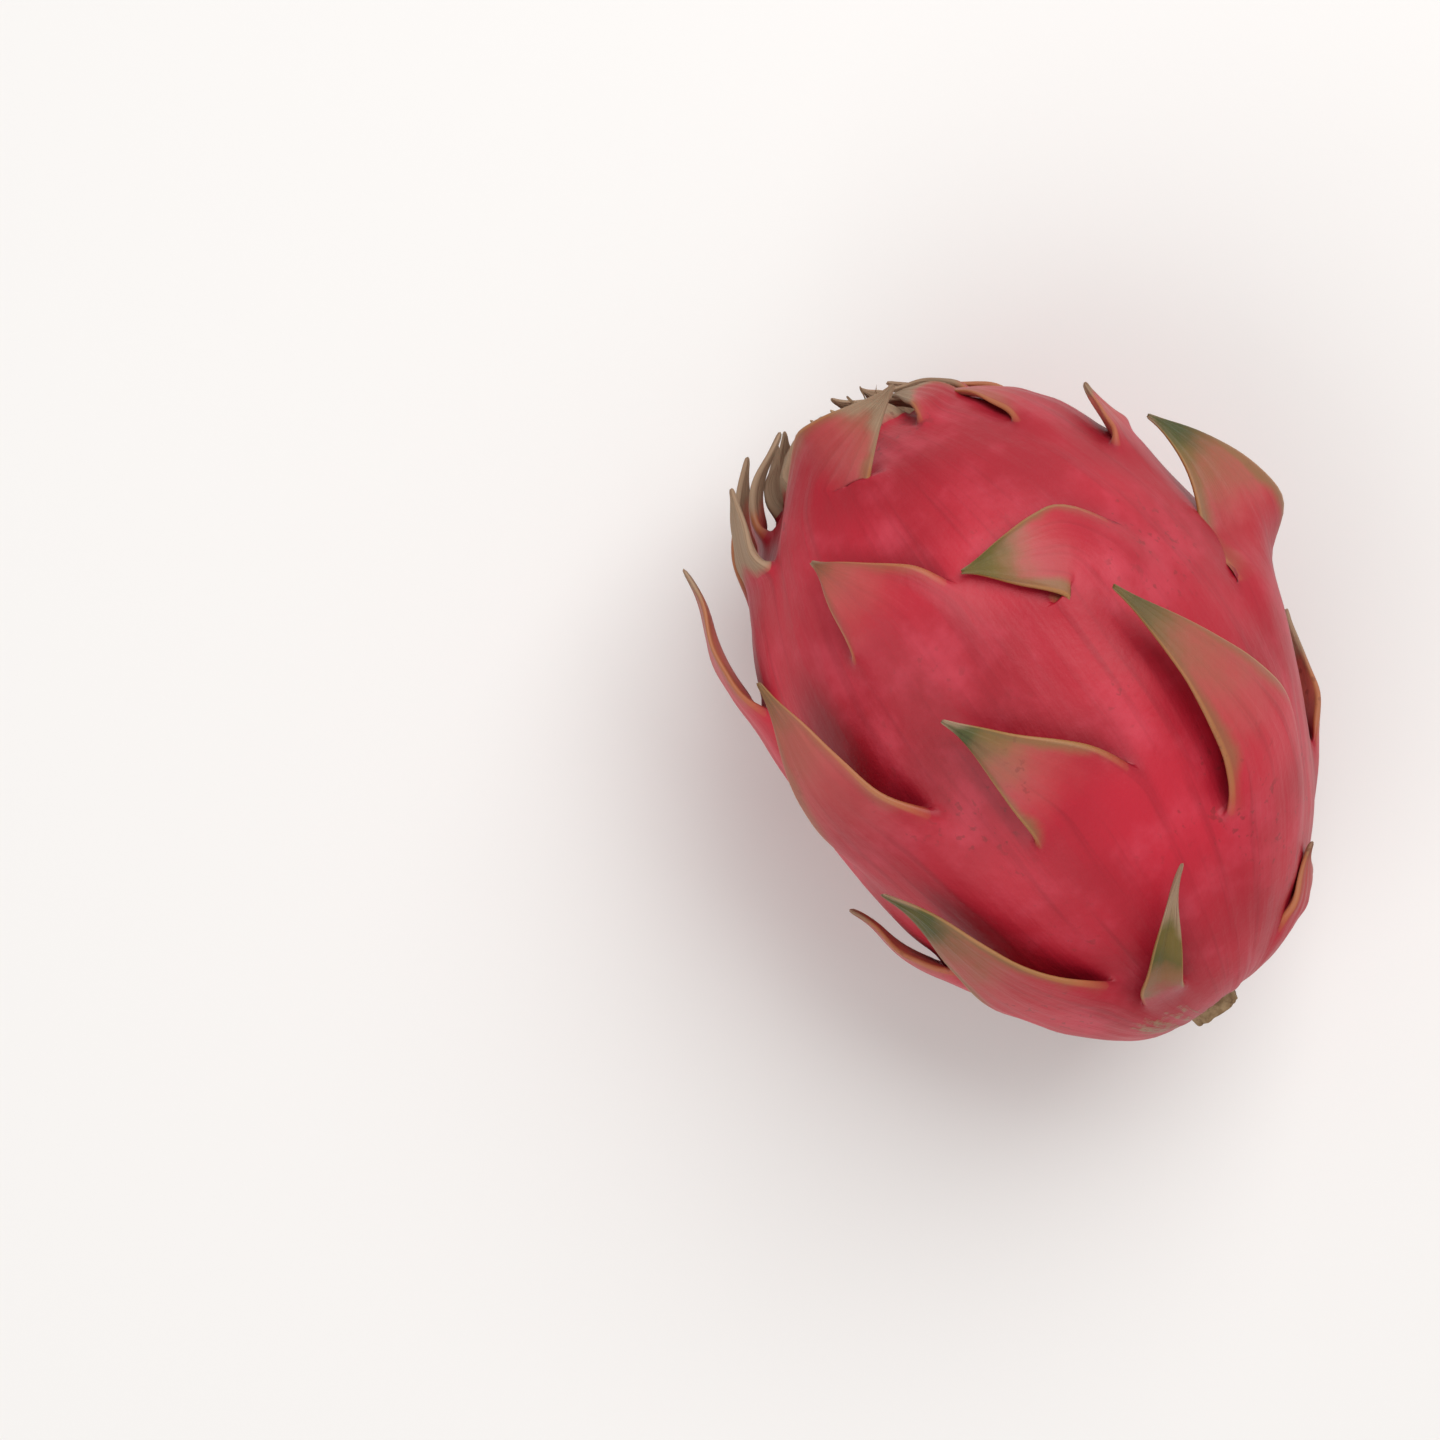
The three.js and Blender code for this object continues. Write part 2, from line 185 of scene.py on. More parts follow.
class Growth:
    """One scale: the strip of faces at its root, its middle line over the rind, and the small
    habits that make it unlike the next."""

    def __init__(self, scale):
        self.scale = scale
        self.ring = round(scale.polar / 180 * RINGS - 0.5)
        self.columns = max(MIN_COLUMNS,
                           round(scale.width * MM / face_width(math.radians(scale.polar))))
        self.start = round(scale.around / 360 * SIDES - self.columns / 2)
        self.polar = math.pi * (self.ring + 0.5) / RINGS
        self.around = math.tau * (self.start + self.columns / 2) / SIDES
        self.half_width = self.columns * face_width(self.polar) / 2
        self.places = list(self.middle_line())
        self.seed = random.uniform(0, 50)
        self.ripples = random.uniform(6, 13)
        self.twist = random.uniform(-0.3, 0.3)
        self.sway = random.uniform(-2.5, 2.5) * MM
        self.curl = random.uniform(0.0, 1.6)

    def middle_line(self):
        """At each step: how far along, where, which way is across, and which way is on."""
        scale, polar, around = self.scale, self.polar, self.around
        stride = scale.length * MM / STEPS
        height = 0.0
        for step in range(STEPS + 1):
            t = step / STEPS
            normal, ahead, aside, per_radian = rind_frame(polar, around)
            slope = math.radians(scale.rise * (1 - t) + scale.flare * t)
            lean = math.radians(scale.lean) * smooth(LEAN_START, LEAN_END, t)
            along = ahead * math.cos(lean) + aside * math.sin(lean)
            yield (t, rind_point(polar, around) + normal * height,
                   normal.cross(along).normalized(),
                   along * math.cos(slope) + normal * math.sin(slope))
            polar -= stride * math.cos(slope) * math.cos(lean) / (per_radian[0] + height)
            around += stride * math.cos(slope) * math.sin(lean) / (per_radian[1] + height)
            height += stride * math.sin(slope)

    def point(self, step, side, outer):
        """Where a vertex lies: side runs -1 to 1 over the width, outer is the scale's back."""
        scale = self.scale
        t, middle, across, direction = self.places[step]
        facing = direction.cross(across).normalized()
        ragged = 1 + RAGGEDNESS * noise.noise(Vector((t * RAGS_ALONG, side * RAGS_ACROSS,
                                                      self.seed)))
        reach = side * self.half_width * outline(t) * ragged
        hug = scale.hug * reach * reach / (BODY_WIDTH * math.sin(math.radians(scale.polar)))
        fold = scale.fold * abs(reach) * FOLD_SLOPE * smooth(0, BENT_BY, t)
        phase = t * self.ripples + self.seed + (RIPPLE_LAG if side > 0 else 0)
        ripple = RIPPLE_HEIGHT * abs(side) ** 3 * smooth(RIPPLE_START, RIPPLE_END, t) * (
            1 - t) * math.sin(phase)
        keel = KEEL_HEIGHT * math.exp(-((side / KEEL_WIDTH) ** 2)) * (1 - t) if outer else 0.0
        curl = self.curl * max(t - CURL_START, 0.0) ** 2 * scale.length * MM
        half_thickness = thickness(t, side) / 2 * (1 if outer else -1)
        lift = half_thickness - hug + fold + ripple + keel + curl
        roll = math.radians(scale.roll) * smooth(0, BENT_BY, t) + self.twist * t * t
        across, facing = (across * math.cos(roll) + facing * math.sin(roll),
                          facing * math.cos(roll) - across * math.sin(roll))
        return middle + across * (reach + self.sway * t * t) + facing * lift


# What every vertex keeps: whose scale it is on (0 for none), its column there and whether it
# is on the scale's back, then amounts for the finish, painted shade among them, and its place in
# the grain.
MARKS = {"int": ("whose", "column", "outer_side"),
         "float": ("blade", "margin", "inner", "green", "dry", "crease", "scar"),
         "float_vector": ("grain",)}


def marks_of(mesh, new=False):
    """The mesh's layers of marks by name. An operator leaves old ones stale."""
    found = {}
    for kind, names in MARKS.items():
        layers = getattr(mesh.verts.layers, kind)
        for name in names:
            found[name] = layers.new(name) if new else layers[name]
    return SimpleNamespace(**found)


# The sphere: its poles are turned onto the fruit's long axis.
bpy.ops.object.select_all(action="DESELECT")
bpy.ops.mesh.primitive_uv_sphere_add(segments=SIDES, ring_count=RINGS, radius=1,
                                     rotation=(0, math.pi / 2, 0))
rind = bpy.context.object
rind.name = "rind_and_scales"
bpy.ops.object.transform_apply(location=False, rotation=True, scale=False)
bpy.ops.object.mode_set(mode="EDIT")
bpy.ops.mesh.select_mode(type="FACE")
bpy.ops.mesh.select_all(action="DESELECT")
mesh = bmesh.from_edit_mesh(rind.data)
marks = marks_of(mesh, new=True)

# The sphere's vertices by their ring from the blossom end and their side around from the top.
grid = {}
for vert in mesh.verts:
    polar = math.acos(max(-1.0, min(1.0, vert.co.x)))
    around = math.atan2(vert.co.y, vert.co.z)
    ring = round(polar / math.pi * RINGS)
    grid[ring, round(around / math.tau * SIDES) % SIDES if 0 < ring < RINGS else 0] = vert

# Each scale takes a strip of faces between two rings for its root.
HABIT_SEED = 11
random.seed(HABIT_SEED)
growths = [Growth(scale) for scale in SCALES]
for number, growth in enumerate(growths):
    for column in range(growth.columns + 1):
        for outer in (0, 1):
            vert = grid[growth.ring + outer, (growth.start + column) % SIDES]
            vert[marks.whose] = number + 1
            vert[marks.column] = column
            vert[marks.outer_side] = outer
for face in mesh.faces:
    owners = {vert[marks.whose] for vert in face.verts}
    sides_held = {vert[marks.outer_side] for vert in face.verts}
    face.select = len(owners) == 1 and 0 not in owners and len(sides_held) == 2

# The rind swells over some way up to each root, overhangs a little past it, and dips in the
# axil under the scale. Shares are of the scale's width, or of its half width to the sides.
SWELL_REACH, SWELL_SIDES = 30 * MM, 1.6
SWELL_FULL, SWELL_GONE, SWELL_NARROWING = 0.6, 1.2, 0.01 / MM
SWELL_SHARE, SWELL_POWER, SWELL_LIMIT = 0.095, 1.6, 3 * MM
SWELL_RUN_SHARE, SWELL_RUN_MORE = 0.55, 4 * MM
OVERHANG_SHARE, OVERHANG_LENGTH = 0.05, 3.2 * MM
# AXIL_SHADE: how far from the root the painted shade under the scale fades out.
AXIL_DEPTH, AXIL_PLACE, AXIL_LENGTH, AXIL_SHADE = 0.6 * MM, 4 * MM, 3 * MM, 6 * MM
END_ROUNDING = 0.25

# The rind's unevenness: height and how many to the metre for lumps, and shallow pleats that
# gather at both ends, between these angles from the blossom end, in radians.
LUMPS = ((0.9 * MM, 28), (0.35 * MM, 75))
PLEAT_HEIGHT, PLEATS = 0.45 * MM, 11
PLEAT_WANDER, PLEAT_WANDERINGS = 2, 3
BLOSSOM_PLEATS, STEM_PLEATS, STEM_PLEAT_SHARE = (0.75, 0.35), (2.55, 2.85), 0.8

# Corky marks: round the stem, and one old scuff beside it.
STEM_PLACE = rind_point(math.pi, 0)
STEM_CORK_OUTER, STEM_CORK_INNER = 14 * MM, 5 * MM
OLD_SCUFF = rind_point(math.radians(156), math.radians(36))
SCUFF_OUTER, SCUFF_INNER, SCUFF_STRENGTH = 11 * MM, 2 * MM, 0.62

# The rind's length over its curve, from end to end.
GRAIN_LENGTH = 1.3 * BODY_LENGTH


def swelling(polar, around):
    """How far the rind stands out below a scale's root, and how much painted shade darkens it in
    the hollow under the scale.
    """
    rise, shade = 0.0, 0.0
    for growth in growths:
        turn = (around - growth.around + math.pi) % math.tau - math.pi
        aside = turn * math.sin(growth.polar) * BODY_WIDTH / 2
        ahead = (growth.polar - polar) * BODY_LENGTH / 2 * (
            1 - END_ROUNDING + END_ROUNDING * math.sin(growth.polar))
        width, half = 2 * growth.half_width, growth.half_width
        if abs(aside) > SWELL_SIDES * half or abs(ahead) > SWELL_REACH:
            continue
        narrowed = half * (1 + SWELL_NARROWING * min(ahead, 0))
        within = 1 - smooth(SWELL_FULL, SWELL_GONE, abs(aside) / narrowed)
        if ahead <= 0:
            run = SWELL_RUN_SHARE * growth.scale.length * MM + SWELL_RUN_MORE
            rise += SWELL_SHARE * width * within * max(1 + ahead / run, 0) ** SWELL_POWER
        else:
            overhang = math.exp(-((ahead / OVERHANG_LENGTH) ** 2))
            dip = math.exp(-(((ahead - AXIL_PLACE) / AXIL_LENGTH) ** 2))
            rise += within * (OVERHANG_SHARE * width * overhang - AXIL_DEPTH * dip)
            shade = max(shade, within * math.exp(-ahead / AXIL_SHADE))
    return min(rise, SWELL_LIMIT), shade


for (ring, side_index), vert in grid.items():
    polar = math.pi * ring / RINGS
    around = math.tau * side_index / SIDES
    normal = rind_frame(polar, around)[0] if 0 < ring < RINGS else vert.co.copy()
    place = rind_point(polar, around)
    rise, shade = swelling(polar, around)
    lumps = sum(height * noise.noise(place * per_metre) for height, per_metre in LUMPS)
    phase = around * PLEATS + PLEAT_WANDER * math.sin(around * PLEAT_WANDERINGS)
    gathered = smooth(*BLOSSOM_PLEATS, polar) + STEM_PLEAT_SHARE * smooth(*STEM_PLEATS, polar)
    pleats = PLEAT_HEIGHT * math.sin(phase) * math.sin(polar) * gathered
    vert.co = place + normal * (rise + lumps + pleats)
    # Painted shade in the hollow under each scale, for the rind's colour.
    vert[marks.crease] = shade
    corked = smooth(STEM_CORK_OUTER, STEM_CORK_INNER, (place - STEM_PLACE).length)
    scuffed = SCUFF_STRENGTH * smooth(SCUFF_OUTER, SCUFF_INNER, (place - OLD_SCUFF).length)
    vert[marks.scar] = max(corked, scuffed)
    vert[marks.grain] = Vector(((1 - polar / math.pi) * GRAIN_LENGTH,
                                BODY_WIDTH / 2 * math.cos(around),
                                BODY_WIDTH / 2 * math.sin(around)))
bmesh.update_edit_mesh(rind.data)

# Each step draws every scale's strip of faces out by one row. Over the first few steps a row
# eases from the shape of the strip to that of the blade.
EASING_STEPS = 3
# How far up its inner face a scale carries the painted shade from the hollow under it.
SHADED_BY = 0.45
for step in range(1, STEPS + 1):
    bpy.ops.mesh.extrude_region_move()
    mesh = bmesh.from_edit_mesh(rind.data)
    marks = marks_of(mesh)
    settle = smooth(0, EASING_STEPS, step)
    for vert in mesh.verts:
        if not vert.select:
            continue
        growth = growths[vert[marks.whose] - 1]
        outer = vert[marks.outer_side]
        side = 2 * vert[marks.column] / growth.columns - 1
        place = growth.point(step, side, outer)
        drawn = vert.co + place - growth.point(step - 1, side, outer)
        vert.co = place * settle + drawn * (1 - settle)
        vert[marks.blade] = step / STEPS
        vert[marks.margin] = abs(side)
        vert[marks.inner] = 1 - outer
        vert[marks.green] = growth.scale.green
        vert[marks.dry] = growth.scale.dry
        # The foot of a scale's inner face carries that painted shade too, fading towards its tip.
        vert[marks.crease] = (1 - outer) * (1 - smooth(0, SHADED_BY, step / STEPS))
        vert[marks.grain] += Vector((growth.scale.length * MM / STEPS, 0, 0))
    bmesh.update_edit_mesh(rind.data)
bpy.ops.mesh.select_all(action="DESELECT")
bpy.ops.object.mode_set(mode="OBJECT")


def round_off(piece, levels):
    """Subdivides a piece smoothly, for good."""
    smoothing = piece.modifiers.new("smoothing", "SUBSURF")
    smoothing.levels = smoothing.render_levels = levels
    bpy.ops.object.modifier_apply(modifier="smoothing")


def push_out(piece, distances):
    """Moves each vertex along its normal. All normals are read before the first move."""
    normals = [vert.normal.copy() for vert in piece.data.vertices]
    for vert, normal, distance in zip(piece.data.vertices, normals, distances):
        vert.co += normal * distance


def stretched_noise(place, along, across):
    """Noise from -1 to 1, along the grain and across it, at so many to the metre."""
    return noise.noise(Vector((place.x * along, place.y * across, place.z * across)))


# The rind's own surface: fine ribs that run with the veins, and shallow dimples between them.
RIB_HEIGHT, RIBS_ALONG, RIBS_ACROSS = 0.16 * MM, 35, 260
DIMPLE_HEIGHT, DIMPLES_ALONG, DIMPLES_ACROSS = 0.1 * MM, 170, 330
round_off(rind, 1)
push_out(rind, [RIB_HEIGHT * stretched_noise(item.vector, RIBS_ALONG, RIBS_ACROSS)
                + DIMPLE_HEIGHT * stretched_noise(item.vector, DIMPLES_ALONG, DIMPLES_ACROSS)
                for item in rind.data.attributes["grain"].data])
for vert in rind.data.vertices:
    vert.co.z = max(vert.co.z, low.z)
bpy.ops.object.shade_smooth()


class Finish:
    """A material, with short names for the nodes that its pattern is made of."""

    def __init__(self, name):
        self.material = bpy.data.materials.new(name)
        self.material.use_nodes = True
        self.tree = self.material.node_tree
        self.shader = self.tree.nodes["Principled BSDF"]

    def feed(self, socket, value):
        """Links the value to the socket if it comes from a node, or else sets it there."""
        if isinstance(value, bpy.types.NodeSocket):
            self.tree.links.new(value, socket)
        else:
            socket.default_value = value

    def node(self, kind, **inputs):
        """A new node; an input's name is written with _ for each space."""
        made = self.tree.nodes.new("ShaderNode" + kind)
        for name, value in inputs.items():
            self.feed(made.inputs[name.replace("_", " ")], value)
        return made

    def surface(self, **inputs):
        """Sets the shader's own sockets, named as in node."""
        for name, value in inputs.items():
            self.feed(self.shader.inputs[name.replace("_", " ")], value)

    def place(self):
        """Where a point of the piece is, in metres."""
        return self.node("TexCoord").outputs["Object"]

    def mark(self, name, output="Fac"):
        """What the vertices keep under this name."""
        made = self.node("Attribute")
        made.attribute_name = name
        return made.outputs[output]

    def noise(self, place, per_metre, detail, roughness=0.55):
        """Noise between 0 and 1. A triple per_metre stretches it along the place's axes."""
        if isinstance(per_metre, tuple):
            place = self.node("Mapping", Vector=place, Scale=per_metre).outputs["Vector"]
            per_metre = 1.0
        return self.node("TexNoise", Vector=place, Scale=per_metre, Detail=detail,
                         Roughness=roughness).outputs["Fac"]

    def sum_of(self, operation, first, second):
        made = self.node("Math")
        made.operation = operation
        self.feed(made.inputs[0], first)
        self.feed(made.inputs[1], second)
        return made.outputs[0]

    def plus(self, first, second):
        return self.sum_of("ADD", first, second)

    def minus(self, first, second):
        return self.sum_of("SUBTRACT", first, second)

    def times(self, first, second):
        return self.sum_of("MULTIPLY", first, second)

    def larger(self, first, second):
        return self.sum_of("MAXIMUM", first, second)

    def ease(self, value, start, end):
        """0 below start, 1 above end, smooth between."""
        made = self.node("MapRange", Value=value, From_Min=start, From_Max=end)
        made.interpolation_type = "SMOOTHSTEP"
        return made.outputs["Result"]

    def tint(self, under, over, amount, strength=1.0):
        """The colour over, laid on the colour under by an amount from 0 to 1."""
        made = self.node("Mix")
        made.data_type = "RGBA"
        sockets = {socket.identifier: socket for socket in made.inputs}
        if strength < 1.0:
            amount = self.times(amount, strength)
        self.feed(sockets["Factor_Float"], amount)
        self.feed(sockets["A_Color"], under)
        self.feed(sockets["B_Color"], over)
        return next(socket for socket in made.outputs if socket.identifier == "Result_Color")

    def bump(self, height, strength, depth):
        made = self.node("Bump", Strength=strength, Distance=depth, Height=height)
        self.surface(Normal=made.outputs["Normal"])


def srgb(red, green, blue):
    return tuple(((c / 255 + 0.055) / 1.055) ** 2.4 if c > 10 else c / 255 / 12.92
                 for c in (red, green, blue)) + (1.0,)


# The rind's finish: crimson under a pale waxy bloom, with veins that run to the blossom end,
# olive edges and tips on the scales, and withered brown where they have dried.
DEEP_CRIMSON, CRIMSON = srgb(150, 13, 32), srgb(188, 30, 51)
WAXY_BLOOM, VEIN_RED, AXIL_PAINTED_SHADE = srgb(214, 78, 97), srgb(120, 9, 26), srgb(104, 8, 24)
DUSTY_PINK, DUSTY_ROSE, INNER_PEACH = srgb(184, 82, 80), srgb(156, 74, 66), srgb(204, 126, 108)
DARK_BROWN, TAN_BROWN = srgb(112, 78, 44), srgb(146, 96, 62)
LEAF_OLIVE, PALE_OLIVE, RIM_OCHRE = srgb(62, 67, 24), srgb(106, 88, 36), srgb(178, 124, 68)
DARK_STRAW, PALE_STRAW = srgb(104, 72, 50), srgb(186, 158, 130)
DARK_CORK, PALE_CORK = srgb(104, 76, 50), srgb(168, 132, 98)
SPECK_BROWN = srgb(92, 34, 30)

waxy = Finish("waxy_crimson_rind")
spot = waxy.place()
flow = waxy.mark("grain", "Vector")
along, edge, inside, greenness, dryness, painted_axil_shade, scarred = (
    waxy.mark(name) for name in ("blade", "margin", "inner", "green", "dry", "crease", "scar"))
broad = waxy.noise(spot, 26, detail=2)
blotchy = waxy.noise(spot, 48, detail=3)
uneven = waxy.noise(spot, 70, detail=2)
patch = waxy.noise(spot, 95, detail=4)
fine = waxy.noise(spot, 620, detail=4)
dots = waxy.noise(spot, 640, detail=2)
veins = waxy.noise(flow, (26, 420, 420), detail=3)
fibres = waxy.noise(flow, (60, 1500, 1500), detail=3)

# The bare rind.
colour = waxy.tint(DEEP_CRIMSON, CRIMSON, waxy.ease(broad, 0.3, 0.7))
colour = waxy.tint(colour, WAXY_BLOOM, waxy.ease(patch, 0.45, 0.75), strength=0.35)
colour = waxy.tint(colour, VEIN_RED, waxy.ease(veins, 0.52, 0.72), strength=0.28)
# Painted shade: the rind darkened in the hollow under each scale and up the foot of its inner
# face.
colour = waxy.tint(colour, AXIL_PAINTED_SHADE, painted_axil_shade, strength=0.6)

# A scale turns dusty pink towards its tip, and its inner face is pale.
wander = waxy.times(waxy.minus(patch, 0.5), 0.5)
reach = waxy.plus(along, wander)
dusty = waxy.tint(DUSTY_PINK, DUSTY_ROSE, veins)
colour = waxy.tint(colour, dusty, waxy.ease(reach, 0.05, 0.65), strength=0.85)
pale = waxy.times(inside, waxy.ease(along, 0.1, 0.45))
colour = waxy.tint(colour, INNER_PEACH, pale, strength=0.6)

# Its sides are browned in a soft uneven band that widens to the tip, then the tip is olive,
# and its very edge is a thin ochre rim.
greened = waxy.plus(reach, waxy.times(greenness, 0.22))
hem_start = waxy.minus(1.3, waxy.plus(waxy.times(along, 0.35), waxy.times(uneven, 0.7)))
hem = waxy.times(waxy.ease(waxy.minus(waxy.plus(edge, wander), hem_start), -0.2, 0.16),
                 waxy.ease(along, 0.02, 0.3))
browning = waxy.larger(hem, waxy.ease(greened, 0.62, 1.05))
browned = waxy.tint(DARK_BROWN, TAN_BROWN, uneven)
colour = waxy.tint(colour, browned, waxy.times(browning, greenness), strength=0.85)
leaf = waxy.tint(LEAF_OLIVE, PALE_OLIVE, waxy.ease(uneven, 0.35, 0.65))
colour = waxy.tint(colour, leaf, waxy.times(waxy.ease(greened, 0.84, 1.16), greenness))
rim = waxy.times(waxy.ease(edge, 0.9, 0.97), waxy.ease(along, 0.02, 0.2))
colour = waxy.tint(colour, RIM_OCHRE, rim, strength=0.4)

# Dry scales are withered to straw from the tip down, more so at their edges.
far_out = waxy.plus(reach, waxy.times(edge, 0.12))
dry_from = waxy.minus(1.08, dryness)
withered = waxy.ease(waxy.minus(far_out, dry_from), -0.05, 0.16)
colour = waxy.tint(colour, waxy.tint(DARK_STRAW, PALE_STRAW, fibres), withered)

# Cork with a frayed edge round the stem and on the scuff, and specks of wear here and there.
frayed = waxy.plus(waxy.times(waxy.minus(veins, 0.5), 1.1), waxy.times(waxy.minus(fine, 0.5), 0.9))
cork = waxy.ease(waxy.plus(scarred, frayed), 0.46, 0.8)
colour = waxy.tint(colour, waxy.tint(DARK_CORK, PALE_CORK, fine), cork, strength=0.85)
specks = waxy.times(waxy.ease(dots, 0.6, 0.68), waxy.ease(blotchy, 0.52, 0.64))
colour = waxy.tint(colour, SPECK_BROWN, specks, strength=0.4)

rough = waxy.plus(waxy.plus(waxy.times(patch, 0.25), 0.37), waxy.times(withered, 0.3))
relief = waxy.plus(waxy.times(veins, 0.5), waxy.times(fine, 0.35))
relief = waxy.plus(relief, waxy.times(fibres, waxy.larger(withered, cork)))
waxy.surface(Base_Color=colour, Roughness=rough, Specular_IOR_Level=0.34)
waxy.surface(Subsurface_Weight=0.06, Subsurface_Radius=(1.0, 0.25, 0.2), Subsurface_Scale=3 * MM)
waxy.surface(Coat_Weight=0.08, Coat_Roughness=0.35)
waxy.bump(relief, strength=0.5, depth=0.6 * MM)
rind.data.materials.append(waxy.material)
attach(rind, "root")
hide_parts("dragon_fruit")


# --- Flower remains ----------------------------------------------------------
# The blossom has withered and broken off in the dip at its end of the fruit. A fibrous
# brown cup is left there, with curled papery shreds around its rim.
SHREDS = 24
CUP_RADIUS, CUP_DEPTH, CUP_LIFT = 6.4 * MM, 2.4 * MM, 0.6 * MM
RIM_WIDTH = 1.5 * MM
# The cup's floor, ring by ring inwards: width and height.
CUP_RINGS = ((1.5 * MM, -1.2 * MM), (1.3 * MM, 0.9 * MM), (0.9 * MM, -0.6 * MM))
# A shred, step by step outwards: how much of its width and of its thickness each step keeps.
SHRED_STEPS = ((0.95, 0.7), (0.95, 0.7), (0.9, 0.95), (0.85, 0.95), (0.7, 0.95), (0.4, 0.95))
CURL_RUN = 4 * MM
SHRED_SEED = 5
CRUMPLE_HEIGHT, CRUMPLES = 0.3 * MM, 600
END_FACING = 0.9


def lying_cylinder(name, sides, radius, length, place):
    """A cylinder along the fruit's axis, with its place in its mesh, open for face edits."""
    bpy.ops.object.select_all(action="DESELECT")
    bpy.ops.mesh.primitive_cylinder_add(vertices=sides, radius=radius, depth=length,
                                        location=place, rotation=(0, math.pi / 2, 0))
    piece = bpy.context.object
    piece.name = name
    bpy.ops.object.transform_apply(location=True, rotation=True, scale=True)
    bpy.ops.object.mode_set(mode="EDIT")
    bpy.ops.mesh.select_mode(type="FACE")
    return piece


def select_faces(piece, wanted):
    for face in bmesh.from_edit_mesh(piece.data).faces:
        face.select = wanted(face)
    bmesh.update_edit_mesh(piece.data)


cup_place = rind_point(0, 0) + Vector((CUP_LIFT, 0, 0))
remains = lying_cylinder("flower_remains", SHREDS, CUP_RADIUS, CUP_DEPTH, cup_place)
select_faces(remains, lambda face: face.normal.x > END_FACING)
bpy.ops.mesh.inset(thickness=RIM_WIDTH)
for width, height in CUP_RINGS:
    bpy.ops.mesh.inset(thickness=width, depth=height)

# The rim's faces are drawn out into shreds, each with its own tilt, curl, stride and turn.
mesh = bmesh.from_edit_mesh(remains.data)
shred = mesh.faces.layers.int.new("shred")
for number, face in enumerate(mesh.faces):
    from_axis = (face.calc_center_median() - cup_place).yz.length
    face.select = face.normal.x > END_FACING and CUP_RADIUS - RIM_WIDTH < from_axis < CUP_RADIUS
    face[shred] = number
bmesh.update_edit_mesh(remains.data)
random.seed(SHRED_SEED)
habits = [(random.uniform(-0.1, 0.75), random.uniform(-0.35, 0.5), random.uniform(0.7, 1.6) * MM,
           random.uniform(-0.5, 0.5)) for _ in range(len(mesh.faces))]
for slim, thin in SHRED_STEPS:
    bpy.ops.mesh.extrude_faces_move()
    mesh = bmesh.from_edit_mesh(remains.data)
    shred = mesh.faces.layers.int["shred"]
    for face in mesh.faces:
        if not face.select:
            continue
        tilt, curl, stride, turn = habits[face[shred]]
        centre = face.calc_center_median()
        outwards = Vector((0, *(centre - cup_place).yz)).normalized()
        lean = tilt + curl * (centre.x - cup_place.x) / CURL_RUN
        push = Vector((math.cos(lean), 0, 0)) + outwards * math.sin(lean)
        push += outwards.cross(Vector((1, 0, 0))) * turn
        for vert in face.verts:
            offset = vert.co - centre
            through = outwards * offset.dot(outwards)
            vert.co = centre + push * stride + (offset - through) * slim + through * thin
    bmesh.update_edit_mesh(remains.data)
bpy.ops.mesh.select_all(action="SELECT")
bpy.ops.mesh.normals_make_consistent(inside=False)
bpy.ops.object.mode_set(mode="OBJECT")
round_off(remains, 2)
push_out(remains, [CRUMPLE_HEIGHT * noise.noise(vert.co * CRUMPLES)
                   for vert in remains.data.vertices])
bpy.ops.object.shade_smooth()

DRY_BROWN, DRY_STRAW, DRY_BLOTCH = srgb(92, 62, 42), srgb(172, 142, 112), srgb(74, 48, 36)
dried = Finish("withered_fibre")
spot = dried.place()
strands = dried.noise(spot, (120, 900, 900), detail=3)
blotch = dried.noise(spot, 300, detail=3)
colour = dried.tint(DRY_BROWN, DRY_STRAW, dried.ease(strands, 0.35, 0.65))
colour = dried.tint(colour, DRY_BLOTCH, dried.ease(blotch, 0.5, 0.75), strength=0.6)
dried.surface(Base_Color=colour, Roughness=0.85, Specular_IOR_Level=0.25)
dried.bump(strands, strength=0.8, depth=0.5 * MM)
remains.data.materials.append(dried.material)
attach(remains, "root")


# --- Stem scar ----------------------------------------------------------------
# Where the fruit was cut from the cactus: a short corky stub in a shallow dip, with a
# hard raised rim and pale pith sunk in its middle.
SCAR_SIDES = 26
SCAR_RADIUS, SCAR_HEIGHT, SCAR_ROOT = 4.4 * MM, 2.8 * MM, 5 * MM
# The cut face, ring by ring inwards: width and height.
SCAR_RINGS = ((0.5 * MM, 0.3 * MM), (0.6 * MM, -0.2 * MM), (0.6 * MM, -0.9 * MM),
              (0.9 * MM, 0.1 * MM), (0.7 * MM, 0.35 * MM))
KNOB_HEIGHT, KNOBS = 0.7 * MM, 240
PIT_HEIGHT, PITS = 0.3 * MM, 900

stub = lying_cylinder("stem_scar", SCAR_SIDES, SCAR_RADIUS, SCAR_HEIGHT + SCAR_ROOT,
                      STEM_PLACE + Vector(((SCAR_ROOT - SCAR_HEIGHT) / 2, 0, 0)))
select_faces(stub, lambda face: face.normal.x < -END_FACING)
for width, height in SCAR_RINGS:
    bpy.ops.mesh.inset(thickness=width, depth=height)
bpy.ops.mesh.select_all(action="DESELECT")
bpy.ops.object.mode_set(mode="OBJECT")
round_off(stub, 3)
push_out(stub, [KNOB_HEIGHT * noise.noise(vert.co * KNOBS) + PIT_HEIGHT * noise.noise(
    vert.co * PITS) for vert in stub.data.vertices])
bpy.ops.object.shade_smooth()

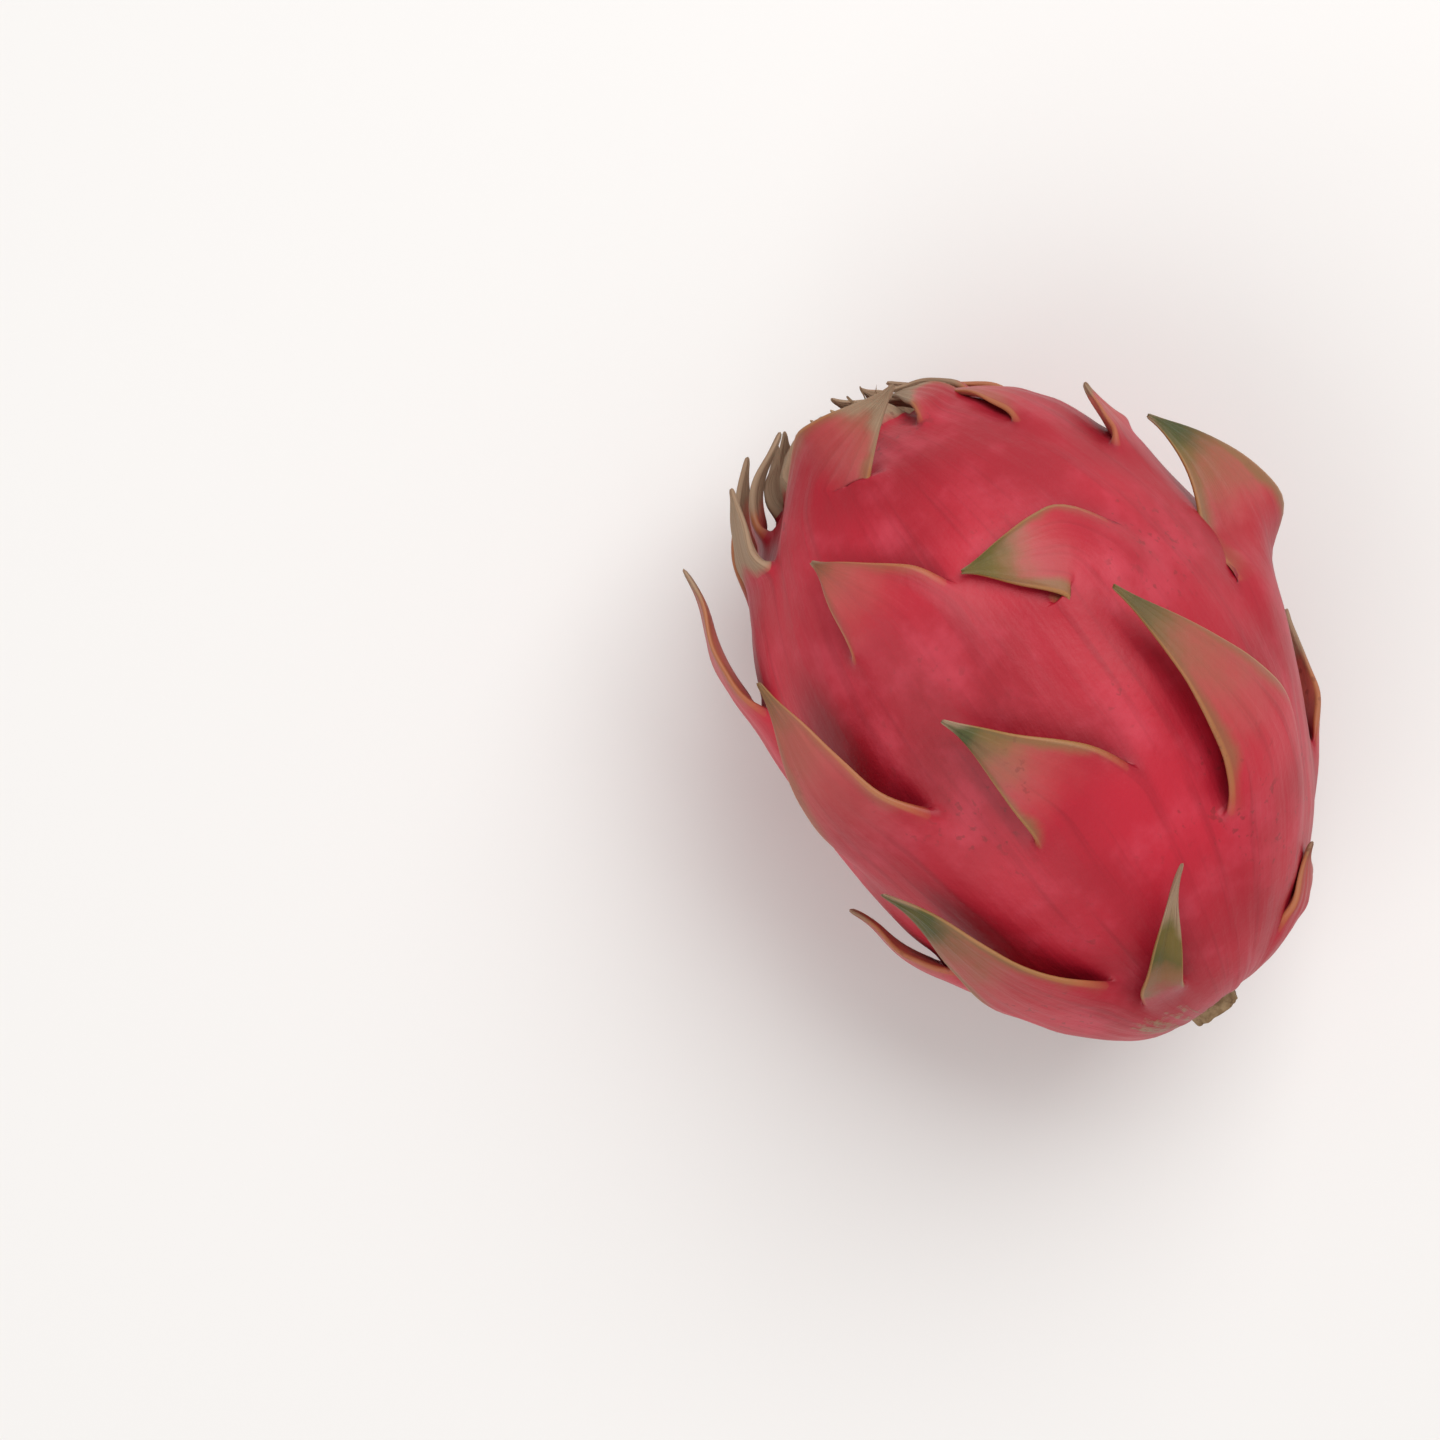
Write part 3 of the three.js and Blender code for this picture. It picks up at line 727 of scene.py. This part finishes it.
BARK, PALE_BARK, PORE_BROWN = srgb(118, 92, 64), srgb(158, 132, 100), srgb(84, 62, 44)
corky = Finish("corky_stem")
spot = corky.place()
bark = corky.noise(spot, 520, detail=4)
pores = corky.noise(spot, 1500, detail=3)
colour = corky.tint(BARK, PALE_BARK, corky.ease(bark, 0.3, 0.7))
colour = corky.tint(colour, PORE_BROWN, corky.ease(pores, 0.55, 0.7), strength=0.5)
corky.surface(Base_Color=colour, Roughness=0.9, Specular_IOR_Level=0.2)
corky.bump(bark, strength=0.9, depth=0.6 * MM)
stub.data.materials.append(corky.material)
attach(stub, "root")


# --- Floor, lights and camera ------------------------------------------------
# A plain pale table top, soft studio light from above and one side, and a long lens that
# looks straight down, turned so that the blossom end points up and to the left.
FLOOR_SIZE = 6
bpy.ops.mesh.primitive_plane_add(size=FLOOR_SIZE, location=(0, 0, low.z))
floor = bpy.context.object
floor.name = "floor"
table = Finish("pale_table")
table.surface(Base_Color=srgb(232, 230, 228), Roughness=0.9)
floor.data.materials.append(table.material)

world = bpy.context.scene.world or bpy.data.worlds.new("studio")
bpy.context.scene.world = world
world.use_nodes = True
sky = world.node_tree.nodes["Background"].inputs
sky["Color"].default_value = (1.0, 0.985, 0.97, 1)
sky["Strength"].default_value = 0.5

# The view's own directions, along the floor.
TURN = math.radians(234)
right = Vector((math.cos(TURN), math.sin(TURN), 0))
up = Vector((-math.sin(TURN), math.cos(TURN), 0))


def soft_light(name, to_right, to_top, above, size, power):
    """A square lamp, placed from the fruit's middle in metres and turned to face it."""
    place = BODY_CENTRE + right * to_right + up * to_top + Vector((0, 0, above))
    bpy.ops.object.light_add(type="AREA", location=place)
    light = bpy.context.object
    light.name = name
    light.data.size = size
    light.data.energy = power
    light.rotation_euler = (BODY_CENTRE - place).to_track_quat("-Z", "Y").to_euler()


soft_light("key", to_right=0.25, to_top=0.5, above=0.8, size=0.8, power=7.5)
soft_light("fill", to_right=-0.5, to_top=-0.6, above=0.7, size=0.9, power=4)

# The fruit lies to the right of the view's middle.
VIEW_WIDTH = 236 * MM
FRUIT_RIGHT, FRUIT_UP = 53.3 * MM, 0.8 * MM
LENS, SENSOR = 85, 36
target = BODY_CENTRE - right * FRUIT_RIGHT - up * FRUIT_UP
bpy.ops.object.camera_add(location=target + Vector((0, 0, VIEW_WIDTH * LENS / SENSOR)),
                          rotation=(0, 0, TURN))
camera = bpy.context.object
camera.data.lens = LENS
camera.data.sensor_width = SENSOR
camera.data.clip_start = 10 * MM
bpy.context.scene.camera = camera
bpy.context.scene.view_settings.view_transform = "Standard"
